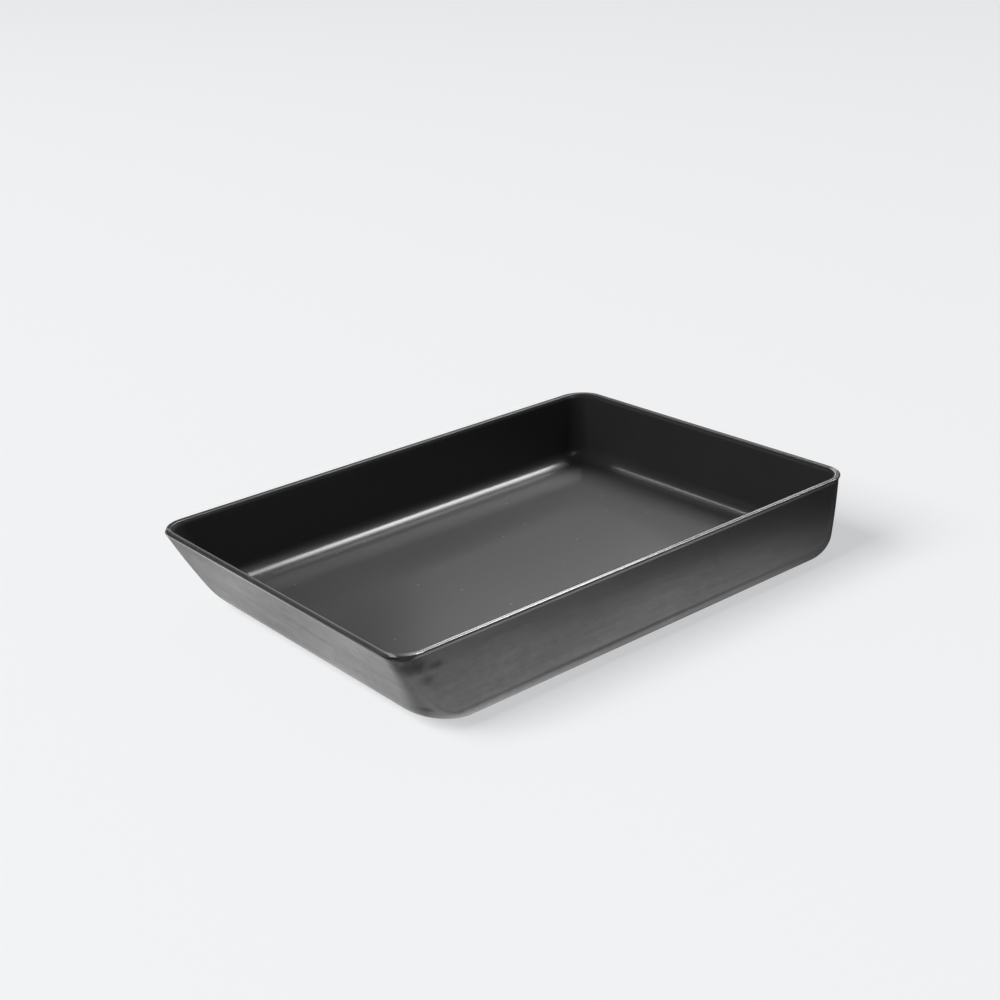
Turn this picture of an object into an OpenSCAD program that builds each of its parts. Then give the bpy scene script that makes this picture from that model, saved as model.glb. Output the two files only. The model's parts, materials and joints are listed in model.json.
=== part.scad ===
// Handle-less tamagoyaki pan: an oblong aluminium pan for rolled omelette.
// X runs along the pan: the leaning serving end is at -X and the upright end at +X.
// The origin is on the surface the pan stands on, under the middle of its rim.

/* [Overall size] */
// Length over the rim
rim_length = 182; // [160:2:220]
// Width over the rim
rim_width = 130; // [115:1:170]
// Height from the base to the top of the rim
pan_height = 30; // [27:0.5:42]
// Thickness of the walls
wall_thickness = 1.8; // [1.4:0.1:2.6]
// Height of the inner floor above the base
floor_height = 4.6; // [3.6:0.2:6]

/* [Walls] */
// Lean of the serving end from upright, in degrees
serving_lean = 25; // [15:1:30]
// Lean of the upright end, in degrees
end_lean = 2.5; // [1:0.5:6]
// Lean of the two long walls, in degrees
side_lean = 2.5; // [1:0.5:6]

/* [Bottom edge] */
// Outer radius under the upright end and the long walls
bottom_radius = 9.6; // [7:0.2:11]
// Outer radius under the serving end
serving_radius = 15.6; // [11:0.2:17]
// Inner radius between the floor and the upright end or the long walls
floor_radius = 5; // [3:0.5:7]
// Inner radius between the floor and the serving end
serving_floor_radius = 13; // [8:0.5:14]

/* [Corners in plan] */
// Corner radius of the rim at the serving end
serving_rim_corner = 8.6; // [6:0.2:12]
// Corner radius of the rim at the upright end
end_rim_corner = 9.6; // [7:0.2:12]
// Outer corner radius of the walls just under the rim, at the serving end
serving_top_corner = 6; // [5:0.5:10]
// Outer corner radius along X at the foot of the serving end
serving_foot_corner_x = 11; // [8:0.5:14]
// Outer corner radius along Y there, before the bottom edge is rounded
serving_foot_corner_y = 21; // [16:0.5:24]
// Outer corner radius of the walls just under the rim, at the upright end
end_top_corner = 8.8; // [7:0.2:12]
// Outer corner radius at the foot of the upright end, before the bottom edge is rounded
end_foot_corner = 12.4; // [11.6:0.2:15]
// Inner corner radius along X at the foot of the serving end
serving_floor_corner_x = 9; // [7:0.5:12]
// Inner corner radius along Y there, before the floor's edge is rounded
serving_floor_corner_y = 15; // [12:0.5:18]
// Inner corner radius at the foot of the upright end, before the floor's edge is rounded
end_floor_corner = 10.5; // [8.5:0.5:13]

/* [Rim] */
// Width of the flat top of the rim on the upright end and the long walls
rim_land = 1.25; // [0.8:0.05:1.6]
// Width of the flat top of the rim on the serving end
serving_rim_land = 0.9; // [0.6:0.05:1.2]
// Rounding of the rim's outer edge
outer_edge_radius = 0.35; // [0.25:0.05:0.4]
// Rounding of the rim's inner edge
inner_edge_radius = 0.4; // [0.25:0.05:0.5]
// How far the lip stands out past the upright end and the long walls
lip_overhang = 0.53; // [0.3:0.01:0.8]
// Height of the lip's upright edge on the upright end and the long walls
lip_height = 0.45; // [0.42:0.01:0.8]
// Height over which those walls curve out to the lip
lip_flare = 1.2; // [1:0.1:3]
// Height of the lip's upright edge on the serving end
serving_lip_height = 1; // [0.8:0.1:1.5]

/* [Coats] */
// Thickness of each baked coat
coat = 0.15; // [0.1:0.01:0.18]

/* [Induction plate] */
// Thickness of the perforated plate
plate_thickness = 0.6; // [0.4:0.1:1]
// Bare aluminium left round the plate
plate_margin = 5; // [3:0.5:10]
// Corner radius of the plate
plate_corner = 9; // [5:0.5:14]
// Radius of each hole
hole_radius = 2; // [1:0.1:3]
// Distance between the middles of neighbouring holes
hole_pitch = 10; // [8:0.5:16]
// Distance from the middle of a hole to the plate's edge, at least
hole_margin = 5; // [4:0.5:10]

/* [Hidden] */

// Smoothness of the mesh
fillet_steps = 10;
wall_steps = 5;
flare_steps = 4;
edge_steps = 3;
corner_steps = 9;
circle_steps = 48;
// How strongly the corners grow towards the foot
corner_growth = 2.25;
smallest_corner = 0.6;
// The serving end's wall starts just inside its lip, below a short crease
serving_overhang = 0.1;
serving_flare = 0.3;
least_inner_flare = 1.2;
// Steps of the bottom rounding left bare, where the base is ground flat after coating
bare_steps = 2;

// Every list below gives the serving end, the upright end and the long walls
serving = 0;
upright = 1;
side = 2;
lean = [serving_lean, end_lean, side_lean];
foot_radius = [serving_radius, bottom_radius, bottom_radius];
inner_radius = [serving_floor_radius, floor_radius, floor_radius];
overhang = [serving_overhang, lip_overhang, lip_overhang];
flare = [serving_flare, lip_flare, lip_flare];
land = [serving_rim_land, rim_land, rim_land];
lip_bottom = [pan_height - serving_lip_height, pan_height - lip_height, pan_height - lip_height];

// A section is the outline of one wall, from the base up the outside, over the rim and down to the floor.
// Its points are [distance inside the rim's outline, height].
function outer_face(wall, z) = overhang[wall] + (lip_bottom[wall] - z) * tan(lean[wall]);
function inner_face(wall, z) = outer_face(wall, z) + wall_thickness / cos(lean[wall]);
function foot_top(wall) = foot_radius[wall] * (1 - sin(lean[wall]));
function floor_edge_top(wall) = floor_height + inner_radius[wall] * (1 - sin(lean[wall]));
function flare_foot(wall) = lip_bottom[wall] - flare[wall];
function inner_edge_bottom() = pan_height - inner_edge_radius;
function inner_flare_foot(wall) = min(flare_foot(wall), inner_edge_bottom() - least_inner_flare);
function rim_depth(wall) = outer_edge_radius + land[wall] + inner_edge_radius;

function arc(centre, radius, from, to, steps, first) = [
    for (i = [first:steps])
        let (angle = from + (to - from) * i / steps)
        centre - radius * [cos(angle), sin(angle)]
];
function outer_foot(wall) =
    let (inset = outer_face(wall, foot_top(wall)) + foot_radius[wall] * cos(lean[wall]))
    arc([inset, foot_radius[wall]], foot_radius[wall], 90, lean[wall], fillet_steps, 0);
function outer_wall(wall) = [
    for (i = [1:wall_steps])
        let (z = foot_top(wall) + (flare_foot(wall) - foot_top(wall)) * i / wall_steps)
        [outer_face(wall, z), z]
];
function outer_flare(wall) = [
    for (i = [1:flare_steps])
        let (share = i / flare_steps, z = flare_foot(wall) + flare[wall] * share)
        [outer_face(wall, z) - overhang[wall] * share * share, z]
];
function rim_top(wall) = concat(
    arc([outer_edge_radius, pan_height - outer_edge_radius], outer_edge_radius, 0, -90, edge_steps, 0),
    arc([outer_edge_radius + land[wall], inner_edge_bottom()], inner_edge_radius, -90, -180, edge_steps, 0)
);
function inner_flare(wall) =
    let (low = inner_flare_foot(wall), reach = inner_face(wall, inner_edge_bottom()) - rim_depth(wall))
    [
        for (i = [1:flare_steps])
            let (share = 1 - i / flare_steps, z = low + (inner_edge_bottom() - low) * share)
            [inner_face(wall, z) - reach * share * share, z]
    ];
function inner_wall(wall) = [
    for (i = [1:wall_steps])
        let (low = floor_edge_top(wall), high = inner_flare_foot(wall), z = high + (low - high) * i / wall_steps)
        [inner_face(wall, z), z]
];
function floor_edge(wall) =
    let (inset = inner_face(wall, floor_edge_top(wall)) + inner_radius[wall] * cos(lean[wall]))
    arc([inset, floor_height + inner_radius[wall]], inner_radius[wall], lean[wall], 90, fillet_steps, 1);
function section(wall) = concat(
    outer_foot(wall), outer_wall(wall), outer_flare(wall), rim_top(wall),
    inner_flare(wall), inner_wall(wall), floor_edge(wall)
);

// Places of the main lines in a section
bare_top = bare_steps;
flare_start = fillet_steps + wall_steps;
seam = flare_start + flare_steps;
rim_end = seam + 2 * edge_steps + 2;
floor_edge_start = rim_end + flare_steps + wall_steps;
last_level = floor_edge_start + fillet_steps;

// The metal under a coat follows the same section, sunk square to it by the coat's thickness.
// A section starts outwards along the base and ends inwards along the floor.
function heading(points, i) =
    i < 0 ? [-1, 0]
    : i >= len(points) - 1 ? [1, 0]
    : (points[i + 1] - points[i]) / norm(points[i + 1] - points[i]);
function sunk(points, depth) = [
    for (i = [0:len(points) - 1])
        let (mean = (heading(points, i - 1) + heading(points, i)) / 2, size = norm(mean))
        points[i] + depth * [mean[1], -mean[0]] / (size * size)
];
seen_faces = [for (wall = [serving:side]) section(wall)];
metal_faces = [for (points = seen_faces) sunk(points, coat)];

// Corner radii of a level in plan: serving end along X and along Y, upright end along X and along Y.
// The walls' corners grow towards the foot, and the rounding below them takes its own depth away.
function grown(top, foot, z) = top + (foot - top) * pow(1 - z / pan_height, corner_growth);
function wall_corners(points) = [
    grown(serving_top_corner, serving_foot_corner_x, points[serving][1]),
    grown(serving_top_corner, serving_foot_corner_y, points[side][1]),
    grown(end_top_corner, end_foot_corner, points[upright][1]),
    grown(end_top_corner, end_foot_corner, points[side][1])
];
function past_foot(wall, points) = max(points[wall][0] - outer_face(wall, foot_top(wall)), 0);
function foot_corners(points) =
    wall_corners(points) - [0, past_foot(side, points), past_foot(upright, points), past_foot(side, points)];
function rim_corners(insets) = [
    serving_rim_corner - insets[serving],
    serving_rim_corner - insets[side],
    end_rim_corner - insets[upright],
    end_rim_corner - insets[side]
];
inner_top_corners = rim_corners([for (wall = [serving:side]) rim_depth(wall)]);
function inner_corners(points) = [
    grown(inner_top_corners[0], serving_floor_corner_x, points[serving][1]),
    grown(inner_top_corners[1], serving_floor_corner_y, points[side][1]),
    grown(inner_top_corners[2], end_floor_corner, points[upright][1]),
    grown(inner_top_corners[3], end_floor_corner, points[side][1])
];
function past_edge(wall, points) = max(points[wall][0] - inner_face(wall, floor_edge_top(wall)), 0);
function floor_corners(points) =
    inner_corners(points) - [0, past_edge(side, points), past_edge(upright, points), past_edge(side, points)];
function mixed(low, high, share) = low + (high - low) * share;
function insets(points) = [for (point = points) point[0]];
function corners(level, points) =
    level < fillet_steps ? foot_corners(points)
    : level <= flare_start ? wall_corners(points)
    : level <= seam ? mixed(wall_corners(points), rim_corners([0, 0, 0]), pow((level - flare_start) / flare_steps, 2))
    : level <= rim_end ? rim_corners(insets(points))
    : level <= floor_edge_start ? inner_corners(points)
    : floor_corners(points);

// A ring is one level of the pan in plan: four rounded corners joined by straight stretches.
// Round each corner the height passes smoothly from one wall's to the next one's.
function ring_corner(middle, radii, from, heights) = [
    for (i = [0:corner_steps])
        let (turn = 90 * i / corner_steps, share = (1 - cos(2 * turn)) / 2)
        [
            middle[0] + radii[0] * cos(from + turn),
            middle[1] + radii[1] * sin(from + turn),
            mixed(heights[0], heights[1], share)
        ]
];
function ring(level, faces) =
    let (
        seen = [for (wall = [serving:side]) seen_faces[wall][level]],
        points = [for (wall = [serving:side]) faces[wall][level]],
        depth = insets(points) - insets(seen),
        wanted = corners(level, seen) - [depth[serving], depth[side], depth[upright], depth[side]],
        radii = [for (radius = wanted) max(radius, smallest_corner)],
        serving_x = points[serving][0] + radii[0] - rim_length / 2,
        serving_y = rim_width / 2 - points[side][0] - radii[1],
        end_x = rim_length / 2 - points[upright][0] - radii[2],
        end_y = rim_width / 2 - points[side][0] - radii[3],
        serving_z = points[serving][1],
        end_z = points[upright][1],
        side_z = points[side][1]
    )
    concat(
        ring_corner([end_x, end_y], [radii[2], radii[3]], 0, [end_z, side_z]),
        ring_corner([serving_x, serving_y], [radii[0], radii[1]], 90, [side_z, serving_z]),
        ring_corner([serving_x, -serving_y], [radii[0], radii[1]], 180, [serving_z, side_z]),
        ring_corner([end_x, -end_y], [radii[2], radii[3]], 270, [side_z, end_z])
    );
function rings(faces, first, last) = [for (level = [first:last]) ring(level, faces)];
function turned(list) = [for (i = [len(list) - 1:-1:0]) list[i]];
function repeated(value, times) = [for (i = [1:times]) value];

// Skins a row of rings into a solid, either joined into a loop or closed by a flat face at each end.
// A strip made from its upper ring to its lower one takes the other diagonals, so that a coat and
// the metal under it share their faces.
rising = true;
falling = false;
function strip(low, high, count, way) = [
    for (i = [0:count - 1])
        let (a = low * count + i, b = high * count + i)
        let (next_a = low * count + (i + 1) % count, next_b = high * count + (i + 1) % count)
        each way ? [[a, b, next_b], [a, next_b, next_a]] : [[a, b, next_a], [b, next_b, next_a]]
];
module skinned(rows, ways, looped) {
    count = len(rows[0]);
    strips = [for (i = [0:len(ways) - 1]) each strip(i, (i + 1) % len(rows), count, ways[i])];
    ends = [[for (i = [0:count - 1]) i], [for (i = [count - 1:-1:0]) (len(rows) - 1) * count + i]];
    polyhedron([for (row = rows) each row], looped ? strips : concat(strips, ends));
}

// The plate lies in the flat of the base, which ends where the bottom edge starts to curve
flat_low_x = seen_faces[serving][0][0] - rim_length / 2;
flat_high_x = rim_length / 2 - seen_faces[upright][0][0];
plate_length = flat_high_x - flat_low_x - 2 * plate_margin;
plate_width = rim_width - 2 * seen_faces[side][0][0] - 2 * plate_margin;
plate_x = (flat_low_x + flat_high_x) / 2;
row_pitch = hole_pitch * sin(60);
rows_each_way = floor(plate_width / 2 / row_pitch);
holes_each_way = ceil(plate_length / 2 / hole_pitch);
edge_zone = max(plate_corner, hole_margin);
cut_below = 1;
function beyond(at, half) = max(abs(at) - (half - edge_zone), 0);
function clear_of_edge(x, y) =
    norm([beyond(x, plate_length / 2), beyond(y, plate_width / 2)]) <= edge_zone - hole_margin;

module rounded_outline(length, width, radius) {
    square([length - 2 * radius, width], center = true);
    square([length, width - 2 * radius], center = true);
    for (x = [-1, 1], y = [-1, 1])
        translate([x * (length / 2 - radius), y * (width / 2 - radius)])
            circle(radius, $fn = circle_steps);
}
module hole_pattern() {
    for (row = [-rows_each_way:rows_each_way], i = [-holes_each_way:holes_each_way]) {
        x = (i + (row % 2 == 0 ? 0 : 0.5)) * hole_pitch;
        y = row * row_pitch;
        if (clear_of_edge(x, y))
            translate([x, y])
                circle(hole_radius, $fn = circle_steps);
    }
}
module plate_outline() {
    translate([plate_x, 0])
        difference() {
            rounded_outline(plate_length, plate_width, plate_corner);
            hole_pattern();
        }
}

// The aluminium pan. Its base has studs that fill the holes of the plate and hold it.
module pan_body() {
    rows = concat(rings(seen_faces, 0, bare_top), rings(metal_faces, bare_top, last_level));
    color([0.78, 0.79, 0.8])
        difference() {
            skinned(rows, repeated(rising, len(rows) - 1), false);
            translate([0, 0, -cut_below])
                linear_extrude(plate_thickness + cut_below)
                    plate_outline();
        }
}

// The inner coat, from the floor up the walls, over the rim and down to the lip's lower edge
module nonstick_lining() {
    under = turned(rings(metal_faces, seam, last_level));
    over = rings(seen_faces, seam, last_level);
    ways = concat(repeated(falling, len(under) - 1), repeated(rising, len(over)));
    color([0.13, 0.13, 0.13])
        skinned(concat(under, over), ways, false);
}

// The outer coat, from the lip down to the ground base
module exterior_coating() {
    over = rings(seen_faces, bare_top, seam);
    under = turned(rings(metal_faces, bare_top, seam));
    ways = concat(repeated(rising, len(over) - 1), repeated(falling, len(under) + 1));
    color([0.3, 0.3, 0.31])
        skinned(concat(over, under), ways, true);
}

// The perforated steel plate, flush with the ground base
module induction_plate() {
    color([0.66, 0.66, 0.65])
        linear_extrude(plate_thickness)
            plate_outline();
}

pan_body();
nonstick_lining();
exterior_coating();
induction_plate();
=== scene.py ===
import json
from math import ceil, cos, floor, hypot, pi, radians, sin, tan

import bmesh
import bpy
from mathutils import Matrix, Vector

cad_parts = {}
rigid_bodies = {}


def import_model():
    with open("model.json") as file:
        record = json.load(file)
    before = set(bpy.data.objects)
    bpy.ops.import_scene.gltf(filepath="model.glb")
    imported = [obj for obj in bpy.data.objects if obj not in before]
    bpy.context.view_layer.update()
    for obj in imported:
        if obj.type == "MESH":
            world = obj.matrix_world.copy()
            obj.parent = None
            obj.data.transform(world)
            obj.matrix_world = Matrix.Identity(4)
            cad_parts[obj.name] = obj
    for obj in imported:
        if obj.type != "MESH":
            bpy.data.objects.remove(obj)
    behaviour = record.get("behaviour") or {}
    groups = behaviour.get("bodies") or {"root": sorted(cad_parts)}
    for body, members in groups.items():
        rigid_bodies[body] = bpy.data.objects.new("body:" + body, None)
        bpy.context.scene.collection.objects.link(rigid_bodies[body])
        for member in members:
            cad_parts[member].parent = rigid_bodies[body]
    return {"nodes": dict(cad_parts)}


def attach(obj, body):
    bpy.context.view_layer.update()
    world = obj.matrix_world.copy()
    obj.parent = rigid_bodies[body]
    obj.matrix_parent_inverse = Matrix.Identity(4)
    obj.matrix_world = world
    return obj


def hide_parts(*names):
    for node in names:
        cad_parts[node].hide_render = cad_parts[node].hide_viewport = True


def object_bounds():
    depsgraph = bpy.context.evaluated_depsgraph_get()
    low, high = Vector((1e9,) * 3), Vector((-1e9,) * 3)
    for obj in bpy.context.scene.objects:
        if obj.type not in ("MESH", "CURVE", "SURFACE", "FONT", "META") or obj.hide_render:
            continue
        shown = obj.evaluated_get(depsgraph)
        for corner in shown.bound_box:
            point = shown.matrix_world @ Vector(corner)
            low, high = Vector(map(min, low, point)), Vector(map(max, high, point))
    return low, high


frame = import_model()
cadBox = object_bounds()
print("frame loaded:", ", ".join(sorted(frame["nodes"])))

mm = 0.001   # all sizes below are in millimetres
photoSize = 1000   # in pixels
sensorWidth = 36


class Wire:
    # wraps one output socket, so that sums of masks and noises read as plain maths
    def __init__(self, tree, socket=None):
        self.tree = tree
        self.socket = socket

    def node(self, kind, settings=None, sockets=None, output=0):
        # settings are set first; an output node has no socket of its own to wrap, so its output is None
        made = self.tree.nodes.new(kind)
        for name, value in (settings or {}).items():
            setattr(made, name, value)
        for name, value in (sockets or {}).items():
            if isinstance(value, Wire):
                self.tree.links.new(value.socket, made.inputs[name])
            else:
                made.inputs[name].default_value = value
        return Wire(self.tree, made.outputs[output] if output is not None else None)

    def pick(self, name):
        # another output of the same node
        return Wire(self.tree, self.socket.node.outputs[name])

    def maths(self, operation, first, second=0.0):
        return self.node("ShaderNodeMath", {"operation": operation}, {0: first, 1: second})

    def __add__(self, other):
        return self.maths("ADD", self, other)

    def __radd__(self, other):
        return self.maths("ADD", other, self)

    def __sub__(self, other):
        return self.maths("SUBTRACT", self, other)

    def __rsub__(self, other):
        return self.maths("SUBTRACT", other, self)

    def __mul__(self, other):
        return self.maths("MULTIPLY", self, other)

    def __rmul__(self, other):
        return self.maths("MULTIPLY", other, self)

    def smooth(self, low, high):
        # 0 at low, 1 at high, and low may be the larger
        settings = {"interpolation_type": "SMOOTHSTEP", "clamp": True}
        return self.node("ShaderNodeMapRange", settings, {"Value": self, "From Min": low, "From Max": high})

    def blend(self, low, high):
        # the wrapped value, 0 to 1, picks a colour between the two
        return self.node("ShaderNodeMix", {"data_type": "RGBA"}, {0: self, 6: low, 7: high}, 2)

    def noise(self, where, size, detail=3.0, roughness=0.5, seed=0.0):
        # size is about the width of one blob in millimetres
        sockets = {"Vector": where, "W": seed, "Scale": 1 / size, "Detail": detail, "Roughness": roughness}
        return self.node("ShaderNodeTexNoise", {"noise_dimensions": "4D"}, sockets)

    def swing(self, *settings):
        # a noise that swings about zero
        return self.noise(*settings) - 0.5

    def stretched(self, where, factors):
        return self.node("ShaderNodeVectorMath", {"operation": "MULTIPLY"}, {0: where, 1: factors})

    def specks(self, where, spacing, radius, share, core=0.6):
        # round dots, one at most in each cell, in the given share of the cells
        cell = self.node("ShaderNodeTexVoronoi", None, {"Vector": where, "Scale": 1 / spacing})
        chance = self.node("ShaderNodeSeparateColor", None, {"Color": cell.pick("Color")})
        kept = self.maths("LESS_THAN", chance, share)
        return cell.smooth(radius / spacing, core * radius / spacing) * kept

    def spot(self, where, centre, reach, core=0.1):
        # one soft blot, 1 at its centre and 0 beyond its reach
        away = self.node("ShaderNodeVectorMath", {"operation": "SUBTRACT"}, {0: where, 1: centre})
        squeezed = self.stretched(away, tuple(1 / part for part in reach))
        distance = self.node("ShaderNodeVectorMath", {"operation": "LENGTH"}, {0: squeezed}, "Value")
        return distance.smooth(1, core)


def newMaterial(name):
    material = bpy.data.materials.new(name)
    material.use_nodes = True
    material.node_tree.nodes.clear()
    paint = Wire(material.node_tree)
    place = paint.node("ShaderNodeTexCoord").pick("Object")
    where = paint.stretched(place, (1 / mm, 1 / mm, 1 / mm))   # millimetres from the pan's origin
    return material, paint, where


def finishMaterial(paint, sockets):
    surface = paint.node("ShaderNodeBsdfPrincipled", None, sockets)
    paint.node("ShaderNodeOutputMaterial", None, {"Surface": surface}, None)


def grey(level, tint=0.0):
    return (level * (1 - tint), level, level * (1 + tint), 1)


# The pan's measures repeat the construction's, so that the fine surfaces lie on its solids
pan = {
    "length": (cadBox[1].x - cadBox[0].x) / mm,
    "width": (cadBox[1].y - cadBox[0].y) / mm,
    "height": (cadBox[1].z - cadBox[0].z) / mm,
    "wall": 1.8,             # thickness square to the wall, coats included
    "floor": 4.6,
    "outerEdge": 0.35,       # radius of the rim's outer edge
    "innerEdge": 0.4,
    "leastInnerFlare": 1.2,  # least height over which the inside curves in to the rim
    "coat": 0.15,
    "bareFoot": 0.2,         # share of the bottom rounding left bare, where the base is ground
    "smallestCorner": 0.6,
    "cornerGrowth": 2.25,    # power by which the corners grow towards the foot
}
# Each wall's lean in degrees, the radii of its outer foot and inner floor edge, how far its lip stands out
# and over what height it flares to that, the flat land on its rim and the height of its lip
walls = {
    "serving": {
        "lean": 25, "foot": 15.6, "inner": 13, "overhang": 0.1, "flare": 0.3, "land": 0.9, "lip": 1.0,
    },
    "upright": {
        "lean": 2.5, "foot": 9.6, "inner": 5, "overhang": 0.53, "flare": 1.2, "land": 1.25, "lip": 0.45,
    },
}
walls["side"] = walls["upright"]   # the two long sides are like the upright end
# Corner radii in plan: at the serving end along X and along Y, at the upright end along X and along Y
cornerRadii = {
    "rim": (8.6, 8.6, 9.6, 9.6),
    "outerTop": (6, 6, 8.8, 8.8),
    "outerFoot": (11, 21, 12.4, 12.4),
    "innerFoot": (9, 15, 10.5, 10.5),
}
# Steps along each stretch of a section, round a corner and along a straight side
fine = {
    "foot": 20, "wall": 8, "flare": 12, "edge": 6, "land": 6, "floorEdge": 20, "corner": 24, "straight": 14,
}
floorRings = (0.4, 1.5, 4, 8)   # further in from the foot of the inner rounding
straightEnd = 0.6               # the first and last step of a straight side, next to the corners


class Wall:
    # one wall's outline in section, from the base up the outside, over the rim and down to the floor
    def __init__(self, measures):
        self.measures = measures
        self.lean = radians(measures["lean"])
        self.lipBottom = pan["height"] - measures["lip"]
        self.footTop = measures["foot"] * (1 - sin(self.lean))
        self.floorEdgeTop = pan["floor"] + measures["inner"] * (1 - sin(self.lean))
        self.rimDepth = pan["outerEdge"] + measures["land"] + pan["innerEdge"]

    def outer(self, z):
        return self.measures["overhang"] + (self.lipBottom - z) * tan(self.lean)

    def inner(self, z):
        return self.outer(z) + pan["wall"] / cos(self.lean)

    def arc(self, stage, centre, radius, start, end, steps):
        for i in range(steps + 1):
            angle = start + (end - start) * i / steps
            yield stage, i / steps, centre[0] - radius * cos(angle), centre[1] - radius * sin(angle)

    def outside(self):
        radius = self.measures["foot"]
        centre = (self.outer(self.footTop) + radius * cos(self.lean), radius)
        yield from self.arc("foot", centre, radius, radians(90), self.lean, fine["foot"])
        flareFoot = self.lipBottom - self.measures["flare"]
        for i in range(1, fine["wall"] + 1):
            z = self.footTop + (flareFoot - self.footTop) * i / fine["wall"]
            yield "wall", i / fine["wall"], self.outer(z), z
        for i in range(1, fine["flare"] + 1):
            share = i / fine["flare"]
            z = flareFoot + self.measures["flare"] * share
            yield "flare", share, self.outer(z) - self.measures["overhang"] * share * share, z

    def rim(self):
        top = pan["height"]
        edge = pan["outerEdge"]
        inner = pan["innerEdge"]
        landEnd = edge + self.measures["land"]
        yield from self.arc("rim", (edge, top - edge), edge, 0, radians(-90), fine["edge"])
        for i in range(1, fine["land"]):
            yield "rim", 0, edge + self.measures["land"] * i / fine["land"], top
        yield from self.arc("rim", (landEnd, top - inner), inner, radians(-90), radians(-180), fine["edge"])

    def inside(self):
        high = pan["height"] - pan["innerEdge"]
        low = min(self.lipBottom - self.measures["flare"], high - pan["leastInnerFlare"])
        reach = self.inner(high) - self.rimDepth
        for i in range(1, fine["flare"] + 1):
            share = 1 - i / fine["flare"]
            z = low + (high - low) * share
            yield "inside", share, self.inner(z) - reach * share * share, z
        for i in range(1, fine["wall"] + 1):
            z = low + (self.floorEdgeTop - low) * i / fine["wall"]
            yield "inside", i / fine["wall"], self.inner(z), z
        radius = self.measures["inner"]
        centre = (self.inner(self.floorEdgeTop) + radius * cos(self.lean), pan["floor"] + radius)
        for step in self.arc("floorEdge", centre, radius, self.lean, radians(90), fine["floorEdge"]):
            if step[1] > 0:
                yield step
        for further in floorRings:
            yield "floor", 1, centre[0] + further, pan["floor"]

    def section(self):
        return [*self.outside(), *self.rim(), *self.inside()]


wallNames = ("serving", "upright", "side")
wallOf = {name: Wall(walls[name]) for name in wallNames}
sections = {name: wallOf[name].section() for name in wallNames}
stages = [step[0] for step in sections["side"]]
lastLevel = len(stages) - 1
seam = lastLevel - stages[::-1].index("flare")    # where the outer coat ends and the inner one starts
bareTop = round(pan["bareFoot"] * fine["foot"])   # the outer coat's lower edge
radiusWalls = ("serving", "side", "upright", "side")   # the wall that each of the four corner radii is for


def sunk(points, depth):
    # moves an outline square into the metal by a coat's thickness
    moved = []
    for i, point in enumerate(points):
        before = (point - points[i - 1]).normalized() if i > 0 else Vector((-1, 0))
        after = (points[i + 1] - point).normalized() if i + 1 < len(points) else Vector((1, 0))
        mean = (before + after) / 2
        moved.append(point + Vector((mean.y, -mean.x)) * (depth / mean.length_squared))
    return moved


seenFace = {name: [Vector(step[2:]) for step in sections[name]] for name in wallNames}
metalFace = {name: sunk(seenFace[name], pan["coat"]) for name in wallNames}


def grown(top, foot, z):
    return top + (foot - top) * (1 - z / pan["height"]) ** pan["cornerGrowth"]


def cornersAt(level):
    inset = [seenFace[name][level].x for name in radiusWalls]
    heights = [seenFace[name][level].y for name in radiusWalls]
    stage, share = sections["side"][level][:2]
    if stage == "rim":
        return [radius - inset[i] for i, radius in enumerate(cornerRadii["rim"])]
    if stage in ("foot", "wall", "flare"):
        tops, feet = cornerRadii["outerTop"], cornerRadii["outerFoot"]
        edges = [wallOf[name].outer(wallOf[name].footTop) for name in radiusWalls]
    else:
        tops = [cornerRadii["rim"][i] - wallOf[name].rimDepth for i, name in enumerate(radiusWalls)]
        feet = cornerRadii["innerFoot"]
        edges = [wallOf[name].inner(wallOf[name].floorEdgeTop) for name in radiusWalls]
    radii = [grown(tops[i], feet[i], heights[i]) for i in range(4)]
    if stage == "flare":
        return [radii[i] + (cornerRadii["rim"][i] - radii[i]) * share ** 2 for i in range(4)]
    if stage in ("foot", "floorEdge", "floor"):
        # further in than the wall's foot the radii shrink with the outline, all but the first
        radii = [radii[i] - (max(inset[i] - edges[i], 0) if i > 0 else 0) for i in range(4)]
    return radii


def ring(level, faces):
    # one level of the pan in plan, as points round the four corners and along the straight stretches
    seen = {name: seenFace[name][level] for name in wallNames}
    at = {name: faces[name][level] for name in wallNames}
    outward = [at[name].x - seen[name].x for name in radiusWalls]
    radii = [max(radius - outward[i], pan["smallestCorner"]) for i, radius in enumerate(cornersAt(level))]
    servingX = at["serving"].x + radii[0] - pan["length"] / 2
    servingY = pan["width"] / 2 - at["side"].x - radii[1]
    endX = pan["length"] / 2 - at["upright"].x - radii[2]
    endY = pan["width"] / 2 - at["side"].x - radii[3]
    corners = (
        (endX, endY, radii[2], radii[3], 0, "upright", "side"),
        (servingX, servingY, radii[0], radii[1], 90, "side", "serving"),
        (servingX, -servingY, radii[0], radii[1], 180, "serving", "side"),
        (endX, -endY, radii[2], radii[3], 270, "side", "upright"),
    )
    stretches = []
    for x, y, alongX, alongY, start, before, after in corners:
        stretch = []
        for i in range(fine["corner"] + 1):
            turn = radians(90 * i / fine["corner"])
            angle = radians(start) + turn
            share = (1 - cos(2 * turn)) / 2
            z = at[before].y + (at[after].y - at[before].y) * share
            stretch.append(Vector((x + alongX * cos(angle), y + alongY * sin(angle), z)))
        stretches.append(stretch)
    points = []
    for i, stretch in enumerate(stretches):
        points.extend(stretch)
        last, following = stretch[-1], stretches[(i + 1) % 4][0]
        reach = (following - last).length
        for k in range(fine["straight"] + 1):
            along = straightEnd + (reach - 2 * straightEnd) * k / fine["straight"]
            points.append(last.lerp(following, along / reach))
    return points


def rings(faces, first, last):
    return [ring(level, faces) for level in range(first, last + 1)]


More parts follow.
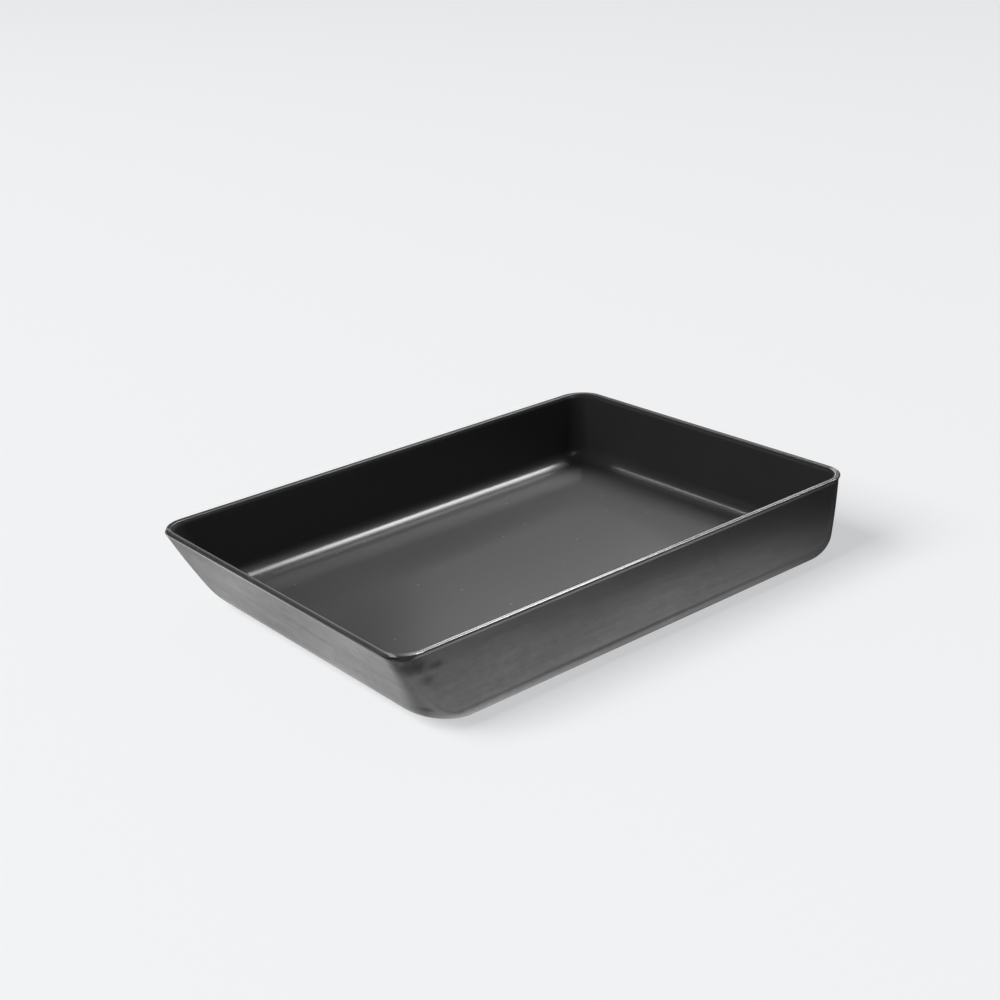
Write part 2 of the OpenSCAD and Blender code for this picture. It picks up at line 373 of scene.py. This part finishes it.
def skin(name, rows, looped):
    # joins the rings into a closed skin; one that isn't looped is closed by its first and last ring
    count = len(rows[0])
    points = [point * mm for row in rows for point in row]
    faces = []
    for i in range(len(rows) if looped else len(rows) - 1):
        low, high = i * count, (i + 1) % len(rows) * count
        for k in range(count):
            following = (k + 1) % count
            faces.append((low + k, low + following, high + following, high + k))
    if not looped:
        faces.append(tuple(reversed(range(count))))
        faces.append(tuple(range(len(points) - count, len(points))))
    mesh = bpy.data.meshes.new(name)
    mesh.from_pydata(points, [], faces)
    mesh.validate()
    mesh.shade_smooth()
    made = bpy.data.objects.new(name, mesh)
    bpy.context.scene.collection.objects.link(made)
    return made


# A noise has its size, detail, roughness and seed; a pair of places runs from no effect to full effect
coatGrain = {
    "clouds": (22, 4, 0.6, 1.7),
    "blotches": (2.6, 5, 0.7, 6.4),
    "streaks": (1, 4, 0.6, 4.1),
    "streakStretch": (0.03, 0.03, 0.5),   # draws the streaks out level along the walls
    "scuffs": (2.5, 4, 0.6, 8.3),
    "pebbleDetail": 2,
    "grit": (0.22, 2, 0.5, 2.2),
    "gritHeight": 0.35,                   # in shares of the pebbling's height
    "dustHeight": 1.5,
    "dustZone": (7, 5),                   # dust shows pale on the pan's floor alone
    "dustCover": 0.35,
    "dustTone": 0.3,
    "cloudWear": 0.5,                     # how far clouds count as wear
    "wearRoughness": 0.12,                # what wear adds to the roughness
    "wearShine": 0.9,                     # and takes from the smooth skin
    "streakDrift": 0.6,                   # what streaks add to the colour's drift
}
liningFinish = {
    "colour": 0.013,
    "mottle": 0.18,                       # how far the colour drifts either way
    "roughness": 0.5,
    "ior": 1.5,
    "mirror": 0.7,
    "topWeight": 0.52,                    # the smooth skin that the coat forms while it is baked
    "topRoughness": 0.18,
    "topIor": 1.6,
    "blotches": 0.5,
    "streaks": 0.0,
    "pebbles": (0.8, 0.0045),             # size and height
    "dust": (4, 0.5, 0.12),               # spacing, radius and share of the cells that hold a speck
    # places where handling has left the coat duller or, below zero, shinier: centre, reach, depth
    "marks": [
        ((-66.2, 62, 13), (1.5, 1, 2.2), 1.6),
        ((-8.6, -19.2, 4.6), (0.9, 0.9, 0.9), 2.56),
        ((-45.7, -11.4, 4.6), (3, 4, 1), -0.4),
    ],
    "pooled": {"inset": (24, 4.5), "rise": 1.9},   # the floor rises a little towards three of the walls
    "hollow": {"inset": (22, 8), "height": (6.5, 5.2), "dulled": 0.7},   # the floor's upright end is duller
    # the land of the front rim is rubbed smooth and bulges a little, while the other rims are dull
    "frontRim": {
        "starts": (2, 11),                # in from the serving end
        "near": (9, 3),                   # in from the front, as the next
        "outerEdge": (0.45, 0.15),
        "top": (0.5, 0.3),                # down from the top, as the next two
        "land": (0.12, 0.03),
        "otherTops": (0.8, 0.4),
        "edgeRoughness": 0.25,
        "roughness": 0.12,
        "metal": 0.92,
        "tone": 0.7,
        "dulled": 0.75,
        "bulge": (1.15, 2, 0.07),         # its middle and inner end, and its fall per square millimetre
    },
    # the serving end's lip is dull; along its rim's inner rounding a pale line is a painted highlight, on a
    # smoother, shinier coat
    "servingRim": {
        "lipInset": (0.6, 0.4),           # in from the serving end, as all but the tops and the bottom
        "lipTop": (0.3, 0.5),             # down from the top
        "lipBottom": (1.5, 1.3),
        "lipDulled": 0.9,
        "paleFrom": (0.8, 1.1),
        "paleTo": (2.2, 1.7),
        "paleTop": (0.4, 0.2),
        "paleShine": 0.4,
        "paleCover": 0.5,
        "paleTone": 0.4,
        "palePolish": 0.15,
    },
}
outerFinish = {
    "colour": 0.022,
    "mottle": 0.22,
    "roughness": 0.45,
    "ior": 1.5,
    "mirror": 0.4,
    "topWeight": 0.8,
    "topRoughness": 0.22,
    "topIor": 1.6,
    "blotches": 1.0,
    "streaks": 0.9,
    "pebbles": (0.7, 0.008),
    "dust": (4, 0.35, 0.05),
    "marks": [
        ((-86.5, -63.6, 26), (8, 6, 4.6), 2.24),
        ((-82, -64, 20.5), (5, 3, 2.6), 1.28),
        ((-78.6, -64.2, 24.5), (4, 2.5, 2), 1.6),
        ((-79.4, -59.8, 9.4), (3, 3, 1.6), 1.6),
    ],
    # the crease under the serving end's lip carries a painted reflection: a pale, part-metal, smoother and
    # shinier band, more and more towards the back
    "crease": {
        "inset": (2, 1),
        "down": (1.7, 1.4),
        "back": (-5, 95),
        "polish": 0.15,
        "metal": 0.6,
        "tone": 0.4,
    },
}


def placesOn(paint, where):
    # millimetres in from the serving end and the front, up from the base and down from the rim's top
    height = paint.node("ShaderNodeSeparateXYZ", None, {"Vector": where}, "Z")
    x, y = height.pick("X"), height.pick("Y")
    return {
        "x": x,
        "y": y,
        "serving": x + pan["length"] / 2,
        "front": y + pan["width"] / 2,
        "height": height,
        "down": pan["height"] - height,
    }


def coatMaterial(name, finish, addWearAndPaintedLight):
    material, paint, where = newMaterial(name)
    at = placesOn(paint, where)
    clouds = paint.swing(where, *coatGrain["clouds"])
    blotches = paint.swing(where, *coatGrain["blotches"])
    streaks = paint.swing(paint.stretched(where, coatGrain["streakStretch"]), *coatGrain["streaks"])
    worn = clouds * coatGrain["cloudWear"] + blotches * finish["blotches"] + streaks * finish["streaks"]
    for centre, reach, depth in finish["marks"]:
        worn = worn + paint.spot(where, centre, reach) * paint.noise(where, *coatGrain["scuffs"]) * depth
    size, height = finish["pebbles"]
    pebbles = paint.noise(where, size, coatGrain["pebbleDetail"])
    grit = paint.noise(where, *coatGrain["grit"])
    dust = paint.specks(where, *finish["dust"])
    drift = 1 + clouds * (2 * finish["mottle"]) + streaks * (coatGrain["streakDrift"] * finish["streaks"])
    colour = (drift * 0.5).blend(grey(0), grey(2 * finish["colour"]))   # a drift of 1 gives the plain colour
    dusty = dust * coatGrain["dustCover"] * at["height"].smooth(*coatGrain["dustZone"])
    look = {
        "colour": dusty.blend(colour, grey(coatGrain["dustTone"])),
        "metallic": 0.0,
        "roughness": worn * coatGrain["wearRoughness"] + finish["roughness"],
        "shine": finish["topWeight"] * (1 - worn * coatGrain["wearShine"]),
        "relief": (pebbles + grit * coatGrain["gritHeight"] + dust * coatGrain["dustHeight"]) * height,
    }
    # wear, together with the painted highlight and painted reflection that some coats carry
    addWearAndPaintedLight(paint, at, look, finish)
    bump = paint.node("ShaderNodeBump", None, {"Height": look["relief"], "Distance": mm, "Strength": 1.0})
    finishMaterial(paint, {
        "Base Color": look["colour"],
        "Metallic": look["metallic"],
        "Roughness": look["roughness"],
        "IOR": finish["ior"],
        "Specular IOR Level": finish["mirror"],
        "Coat Weight": look["shine"],
        "Coat Roughness": finish["topRoughness"],
        "Coat IOR": finish["topIor"],
        "Normal": bump,
    })
    return material


def liningWearAndPaintedHighlight(paint, at, look, finish):
    side = pan["width"] / 2 - paint.maths("ABSOLUTE", at["y"])
    upright = pan["length"] / 2 - at["x"]
    pooled = finish["pooled"]
    inset = paint.maths("MINIMUM", side, upright)
    look["relief"] = look["relief"] + inset.smooth(*pooled["inset"]) * pooled["rise"]
    rubFrontRim(paint, at, look, finish["frontRim"])
    dullLipAndPaintHighlight(at, look, finish["servingRim"])
    hollow = finish["hollow"]
    dulled = upright.smooth(*hollow["inset"]) * at["height"].smooth(*hollow["height"]) * hollow["dulled"]
    look["shine"] = look["shine"] * (1 - dulled)


def rubFrontRim(paint, at, look, rim):
    near = at["front"].smooth(*rim["near"])
    along = at["serving"].smooth(*rim["starts"])
    top = at["down"].smooth(*rim["top"]) * along * near
    edge = at["front"].smooth(*rim["outerEdge"]) * top
    land = at["down"].smooth(*rim["land"]) * top * (1 - edge)
    others = at["down"].smooth(*rim["otherTops"]) * along * (1 - near)
    rubbed = land * rim["roughness"] + edge * rim["edgeRoughness"]
    shine = paint.maths("MAXIMUM", look["shine"] * (1 - edge), land)
    middle, innerEnd, fall = rim["bulge"]
    across = paint.maths("MINIMUM", at["front"], innerEnd) - middle
    look["colour"] = land.blend(look["colour"], grey(rim["tone"]))
    look["metallic"] = land * rim["metal"]
    look["roughness"] = look["roughness"] * (1 - land) + rubbed
    look["shine"] = shine * (1 - others * rim["dulled"])
    look["relief"] = look["relief"] - across * across * fall


# painted highlight: pale colour along the serving rim's inner rounding, with a smoother, shinier coat; the
# lip itself only loses shine
def dullLipAndPaintHighlight(at, look, rim):
    down, inset = at["down"], at["serving"]
    lip = down.smooth(*rim["lipTop"]) * down.smooth(*rim["lipBottom"]) * inset.smooth(*rim["lipInset"])
    paintedHighlight = inset.smooth(*rim["paleFrom"]) * inset.smooth(*rim["paleTo"]) * down.smooth(*rim["paleTop"])
    look["colour"] = (paintedHighlight * rim["paleCover"]).blend(look["colour"], grey(rim["paleTone"]))
    look["roughness"] = look["roughness"] - paintedHighlight * rim["palePolish"]
    look["shine"] = look["shine"] * (1 - lip * rim["lipDulled"]) + paintedHighlight * rim["paleShine"]


# painted reflection: the band under the serving end's lip is painted pale, with metal, polish and extra
# shine
def paintCreaseReflection(paint, at, look, finish):
    crease = finish["crease"]
    bright = at["down"].smooth(*crease["down"]) * at["serving"].smooth(*crease["inset"])
    bright = bright * at["front"].smooth(*crease["back"])
    look["colour"] = bright.blend(look["colour"], grey(crease["tone"]))
    look["metallic"] = bright * crease["metal"]
    look["roughness"] = look["roughness"] - bright * crease["polish"]
    look["shine"] = look["shine"] + bright


def makeLining():
    under = rings(metalFace, seam, lastLevel)[::-1]
    lining = skin("nonstick_lining_fine", under + rings(seenFace, seam, lastLevel), False)
    lining.data.materials.append(coatMaterial("satinBlackCoat", liningFinish, liningWearAndPaintedHighlight))
    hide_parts("nonstick_lining")
    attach(lining, "root")
    print("inner coat:", len(lining.data.polygons), "faces")


def makeOuterCoat():
    under = rings(metalFace, bareTop, seam)[::-1]
    outer = skin("exterior_coating_fine", rings(seenFace, bareTop, seam) + under, True)
    outer.data.materials.append(coatMaterial("darkGreyCoat", outerFinish, paintCreaseReflection))
    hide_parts("exterior_coating")
    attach(outer, "root")
    print("outer coat:", len(outer.data.polygons), "faces")


# The grinding lines run on over the aluminium and the plate alike, along the pan
underside = {
    "lines": (0.16, 170, 2.6),            # width, length and seed
    "bands": (1.4, 260, 7.1),
    "lineDetail": (3, 0.6),               # detail and roughness of both
    "handling": (16, 4, 0.6, 3.3),
    "scratchTurns": (0.5, -0.9, 1.4),     # three sets of fine scratches, turned by so many radians
    "scratchStretch": (0.012, 0.09, 0.05),
    "scratchNoise": (1, 1, 0.5),          # size, detail and roughness
    "scratchSeed": 4,
    "scratchWidth": (0.0016, 0.0004),
    "toneOf": {"lines": 1.1, "bands": 1.2, "handling": 0.7, "scratches": 0.2},
    "roughnessOf": {"lines": 0.3, "bands": 0.2, "handling": -0.15},
    "lineDepth": 0.004,
    "scratchDepth": 0.003,
    "aluminium": {"dark": 0.56, "light": 0.84, "roughness": 0.33, "tint": 0.01},
    "steel": {"dark": 0.2, "light": 0.36, "roughness": 0.26, "tint": -0.02},
}


def groundMetal(name, metal):
    material, paint, where = newMaterial(name)

    def along(width, length, seed):
        stretched = paint.stretched(where, (1 / length, 1 / width, 1 / width))
        return paint.swing(stretched, 1, *underside["lineDetail"], seed)

    lines = along(*underside["lines"])
    bands = along(*underside["bands"])
    handling = paint.swing(where, *underside["handling"])
    scratches = 0.0
    for turn in underside["scratchTurns"]:
        turned = paint.node("ShaderNodeMapping", None, {"Vector": where, "Rotation": (0, 0, turn)})
        drawn = paint.stretched(turned, underside["scratchStretch"])
        ridge = paint.swing(drawn, *underside["scratchNoise"], turn + underside["scratchSeed"])
        scratches = paint.maths("ABSOLUTE", ridge).smooth(*underside["scratchWidth"]) + scratches
    share = underside["toneOf"]
    tone = lines * share["lines"] + bands * share["bands"] + handling * share["handling"]
    tone = tone + scratches * share["scratches"] + 0.5   # about the middle between dark and light
    share = underside["roughnessOf"]
    uneven = lines * share["lines"] + bands * share["bands"] + handling * share["handling"]
    height = lines * underside["lineDepth"] - scratches * underside["scratchDepth"]
    finishMaterial(paint, {
        "Base Color": tone.blend(grey(metal["dark"], metal["tint"]), grey(metal["light"], metal["tint"])),
        "Metallic": 1.0,
        "Roughness": uneven + metal["roughness"],
        "Normal": paint.node("ShaderNodeBump", None, {"Height": height, "Distance": mm, "Strength": 1.0}),
    })
    return material


base = {
    "plateThickness": 0.6,
    "plateMargin": 5,
    "plateCorner": 9,
    "holeRadius": 2,
    "holePitch": 10,
    "holeMargin": 5,
    "circleSteps": 48,
    "joint": 0.03,       # hairline between the aluminium and the plate
    "sharpAngle": 30,    # edges that bend more are shaded sharp
}
flatInset = {name: next(wallOf[name].outside())[2] for name in wallNames}   # where the flat base starts


def plateSize():
    # its middle along X, its length and its width
    low = flatInset["serving"] - pan["length"] / 2 + base["plateMargin"]
    high = pan["length"] / 2 - flatInset["upright"] - base["plateMargin"]
    return (low + high) / 2, high - low, pan["width"] - 2 * (flatInset["side"] + base["plateMargin"])


def circlePoints(x, y, radius):
    turns = [2 * pi * i / base["circleSteps"] for i in range(base["circleSteps"])]
    return [(x + radius * cos(turn), y + radius * sin(turn)) for turn in turns]


def plateOutline(grow):
    middle, length, width = plateSize()
    radius = base["plateCorner"]
    quarter = base["circleSteps"] // 4
    points = []
    for corner, (alongX, alongY) in enumerate(((1, 1), (-1, 1), (-1, -1), (1, -1))):
        for i in range(quarter + 1):
            turn = radians(90 * corner + 90 * i / quarter)
            x = middle + alongX * (length / 2 - radius) + (radius + grow) * cos(turn)
            y = alongY * (width / 2 - radius) + (radius + grow) * sin(turn)
            points.append((x, y))
    return points


def studPlaces():
    # a staggered pattern, mirrored about the pan's length, that keeps clear of the plate's edge
    middle, length, width = plateSize()
    rowPitch = base["holePitch"] * sin(radians(60))
    edgeZone = max(base["plateCorner"], base["holeMargin"])
    rows = floor(width / 2 / rowPitch)
    across = ceil(length / 2 / base["holePitch"])
    for row in range(-rows, rows + 1):
        for i in range(-across, across + 1):
            x = (i + (0 if row % 2 == 0 else 0.5)) * base["holePitch"]
            y = row * rowPitch
            beyondX = max(abs(x) - (length / 2 - edgeZone), 0)
            beyondY = max(abs(y) - (width / 2 - edgeZone), 0)
            if hypot(beyondX, beyondY) <= edgeZone - base["holeMargin"]:
                yield middle + x, y


def closedLoop(form, points, z):
    corners = [form.verts.new((x * mm, y * mm, z * mm)) for x, y in points]
    edges = [form.edges.new((corner, corners[(i + 1) % len(corners)])) for i, corner in enumerate(corners)]
    return corners, edges


def joinLoops(form, low, high):
    for i in range(len(low)):
        following = (i + 1) % len(low)
        form.faces.new((low[i], low[following], high[following], high[i]))


def makeBody():
    # the same shell as the coats lie on, with the plate's recess and the studs forged through its holes
    rows = rings(seenFace, 0, bareTop) + rings(metalFace, bareTop, lastLevel)
    form = bmesh.new()
    levels = [[form.verts.new(point * mm) for point in row] for row in rows]
    for low, high in zip(levels, levels[1:]):
        joinLoops(form, low, high)
    form.faces.new(levels[-1])
    foot = levels[0]
    footEdges = [form.edges.get((corner, foot[(i + 1) % len(foot)])) for i, corner in enumerate(foot)]
    deep = base["plateThickness"] + base["joint"]
    mouth, mouthEdges = closedLoop(form, plateOutline(base["joint"]), 0)
    ceiling, ceilingEdges = closedLoop(form, plateOutline(base["joint"]), deep)
    joinLoops(form, ceiling, mouth)
    bmesh.ops.triangle_fill(form, edges=footEdges + mouthEdges, use_beauty=True)
    for x, y in studPlaces():
        outline = circlePoints(x, y, base["holeRadius"] - base["joint"])
        root, rootEdges = closedLoop(form, outline, deep)
        tip = closedLoop(form, outline, 0)[0]
        joinLoops(form, tip, root)
        form.faces.new(tip[::-1])
        ceilingEdges = ceilingEdges + rootEdges
    bmesh.ops.triangle_fill(form, edges=ceilingEdges, use_beauty=True)
    bmesh.ops.recalc_face_normals(form, faces=form.faces)
    mesh = bpy.data.meshes.new("pan_body_fine")
    form.to_mesh(mesh)
    form.free()
    mesh.shade_smooth()
    mesh.set_sharp_from_angle(angle=radians(base["sharpAngle"]))
    body = bpy.data.objects.new("pan_body_fine", mesh)
    bpy.context.scene.collection.objects.link(body)
    body.data.materials.append(groundMetal("groundAluminium", underside["aluminium"]))
    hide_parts("pan_body")
    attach(body, "root")
    print("body:", len(mesh.polygons), "faces")


def dressPlate():
    # the plate is the construction's own, so it takes a better material and nothing else
    steel = groundMetal("groundSteel", underside["steel"])
    for slot in frame["nodes"]["induction_plate"].material_slots:
        slot.link = "OBJECT"
        slot.material = steel
    print("plate dressed")


makeLining()
makeOuterCoat()
makeBody()
dressPlate()

# The camera stands as the photograph's does: angles round the target, in degrees, and places in millimetres
view = {
    "azimuth": -38.197,
    "elevation": 22.122,
    "roll": -3.393,
    "distance": 590.86,
    "target": (43.524, 59.284, 0),
    "focal": 1600.12,   # in pixels of the square frame
}


def makeCamera():
    azimuth, elevation = radians(view["azimuth"]), radians(view["elevation"])
    back = Vector((sin(azimuth) * cos(elevation), -cos(azimuth) * cos(elevation), sin(elevation)))
    right = (-back).cross(Vector((0, 0, 1))).normalized()
    up = right.cross(-back)
    roll = radians(view["roll"])
    turnedRight = right * cos(roll) + up * sin(roll)
    turnedUp = up * cos(roll) - right * sin(roll)
    place = (Vector(view["target"]) + back * view["distance"]) * mm
    lens = bpy.data.cameras.new("photoView")
    lens.sensor_width = sensorWidth
    lens.lens = view["focal"] * sensorWidth / photoSize
    camera = bpy.data.objects.new("photoView", lens)
    axes = Matrix((turnedRight, turnedUp, back)).transposed().to_4x4()
    camera.matrix_world = Matrix.Translation(place) @ axes
    bpy.context.scene.collection.objects.link(camera)
    bpy.context.scene.camera = camera


background = (0.872, 0.880, 0.895, 1)   # the picture's, on the table and beyond it
tableTop = {
    "halfWidth": 6000,
    "colour": 0.8,
    "glow": 0.62,       # share of the background's colour that the table gives off, which softens the shadow
    "mirrored": 1.5,    # the brightest that the pan mirrors of it, in the pools below
    "unlit": 0.05,
    # painted pools of light on the table, which only the pan's reflections see: centre, reach, share
    "pools": (
        ((0, -76, 0), (140, 28, 60), 0.86),
        ((-60, -78, 0), (150, 44, 60), 0.85),
        ((-95, 10, 0), (60, 190, 60), 0.57),
    ),
    # and painted shade within them: by the rounded front edge, and halfway along the serving end
    "shades": (
        ((0, -65.4, 0), (130, 2.2, 60), 0.9),
        ((0, -53, 0), (130, 11, 60), 0.95),
        ((-88, 22, 0), (34, 36, 60), 0.25),
    ),
}
studio = {
    "bright": 0.1,               # what falls on the table from all round
    "dark": 0.02,                # what the coats mirror where no lamp stands
    "below": (0.35, 1.0),        # what the underside sees, from the serving end's side to the upright end's
    "belowTurns": (-0.8, 0.6),   # where between the two it changes, in the direction's share along X
    "horizon": (-0.05, 0.05),    # and where below gives way to above, in its share along Z
}
# direction in degrees (azimuth from +X towards +Y, elevation), angular width and height, and radiance
lamps = {
    "mainBox": {"from": (12, 57), "size": (36, 20), "level": 13, "lights": "coats"},
    "hotSide": {"from": (-8, 56), "size": (14, 12), "level": 8, "lights": "coats"},
    "lowBox": {"from": (24, 43), "size": (34, 8), "level": 3.9, "lights": "coats"},
    "backBox": {"from": (94, 49.5), "size": (10, 8), "level": 14, "lights": "coats"},
    "rimCard": {"from": (40, 21.5), "size": (8, 5), "level": 1.0, "lights": "coats"},
    "rimCardHigh": {"from": (49.5, 29), "size": (13, 7), "level": 1.15, "lights": "coats"},
    "leftCard": {"from": (148, 8), "size": (40, 14), "level": 0.4, "lights": "coats"},
    "frontCard": {"from": (280, 34), "size": (30, 18), "level": 1.2, "lights": "coats"},
    "overTable": {"from": (170, 42), "size": (32, 32), "level": 15.9, "lights": "table"},
}
lampDistance = {"coats": 1600, "table": 9000}


def makeTable():
    half = tableTop["halfWidth"] * mm
    mesh = bpy.data.meshes.new("table")
    corners = [(-half, -half, 0), (half, -half, 0), (half, half, 0), (-half, half, 0)]
    mesh.from_pydata(corners, [], [(0, 1, 2, 3)])
    table = bpy.data.objects.new("table", mesh)
    bpy.context.scene.collection.objects.link(table)
    material, paint, where = newMaterial("paleTable")
    rays = paint.node("ShaderNodeLightPath")
    cloth = paint.node("ShaderNodeBsdfDiffuse", None, {"Color": grey(tableTop["colour"])})
    dim = paint.node("ShaderNodeEmission", None, {"Color": grey(tableTop["unlit"])})
    lit = paint.node("ShaderNodeEmission", None, {"Color": grey(1), "Strength": tableTop["mirrored"]})
    shown = paint.node("ShaderNodeEmission", None, {"Color": background})
    # painted pools of light and painted shade, seen only by glossy rays
    bright = 0.0
    for centre, reach, share in tableTop["pools"]:
        bright = paint.maths("MAXIMUM", paint.spot(where, centre, reach) * share, bright)
    for centre, reach, share in tableTop["shades"]:
        bright = bright * (1 - paint.spot(where, centre, reach) * share)
    mirrored = paint.node("ShaderNodeMixShader", None, {0: bright, 1: dim, 2: lit})
    seen = paint.node("ShaderNodeMixShader", None, {0: tableTop["glow"], 1: cloth, 2: shown})
    soft = paint.node("ShaderNodeMixShader", None, {0: rays.pick("Is Camera Ray"), 1: cloth, 2: seen})
    both = paint.node("ShaderNodeMixShader", None, {0: rays.pick("Is Glossy Ray"), 1: soft, 2: mirrored})
    paint.node("ShaderNodeOutputMaterial", None, {"Surface": both}, None)
    mesh.materials.append(material)


def makeWorld():
    world = bpy.data.worlds.new("studio")
    world.use_nodes = True
    world.node_tree.nodes.clear()
    sky = Wire(world.node_tree)
    rays = sky.node("ShaderNodeLightPath")
    direction = sky.node("ShaderNodeTexCoord").pick("Generated")
    up = sky.node("ShaderNodeSeparateXYZ", None, {"Vector": direction}, "Z")
    low, high = studio["below"]

    def even(colour, level):
        return sky.node("ShaderNodeBackground", None, {"Color": colour, "Strength": level})

    above = sky.node("ShaderNodeMixShader", None, {
        0: rays.pick("Is Glossy Ray"), 1: even(grey(1), studio["bright"]), 2: even(grey(1), studio["dark"]),
    })
    below = sky.node("ShaderNodeMixShader", None, {
        0: up.pick("X").smooth(*studio["belowTurns"]), 1: even(grey(1), low), 2: even(grey(1), high),
    })
    around = sky.node("ShaderNodeMixShader", None, {0: up.smooth(*studio["horizon"]), 1: below, 2: above})
    both = sky.node("ShaderNodeMixShader", None, {
        0: rays.pick("Is Camera Ray"), 1: around, 2: even(background, 1.0),
    })
    sky.node("ShaderNodeOutputWorld", None, {"Surface": both}, None)
    bpy.context.scene.world = world


def makeLamp(name, lamp):
    azimuth, elevation = (radians(angle) for angle in lamp["from"])
    away = Vector((cos(elevation) * cos(azimuth), cos(elevation) * sin(azimuth), sin(elevation)))
    distance = lampDistance[lamp["lights"]] * mm
    width, height = (2 * distance * tan(radians(angle / 2)) for angle in lamp["size"])
    light = bpy.data.lights.new(name, "AREA")
    light.shape = "RECTANGLE"
    light.size, light.size_y = width, height
    light.energy = lamp["level"] * pi * width * height
    holder = bpy.data.objects.new(name, light)
    holder.location = away * distance
    holder.rotation_euler = away.to_track_quat("Z", "Y").to_euler()
    holder.visible_glossy = lamp["lights"] == "coats"
    holder.visible_diffuse = lamp["lights"] == "table"
    bpy.context.scene.collection.objects.link(holder)


makeCamera()
makeTable()
makeWorld()
for lampName, lampSettings in lamps.items():
    makeLamp(lampName, lampSettings)
bpy.context.scene.view_settings.view_transform = "Standard"
print("stage ready")
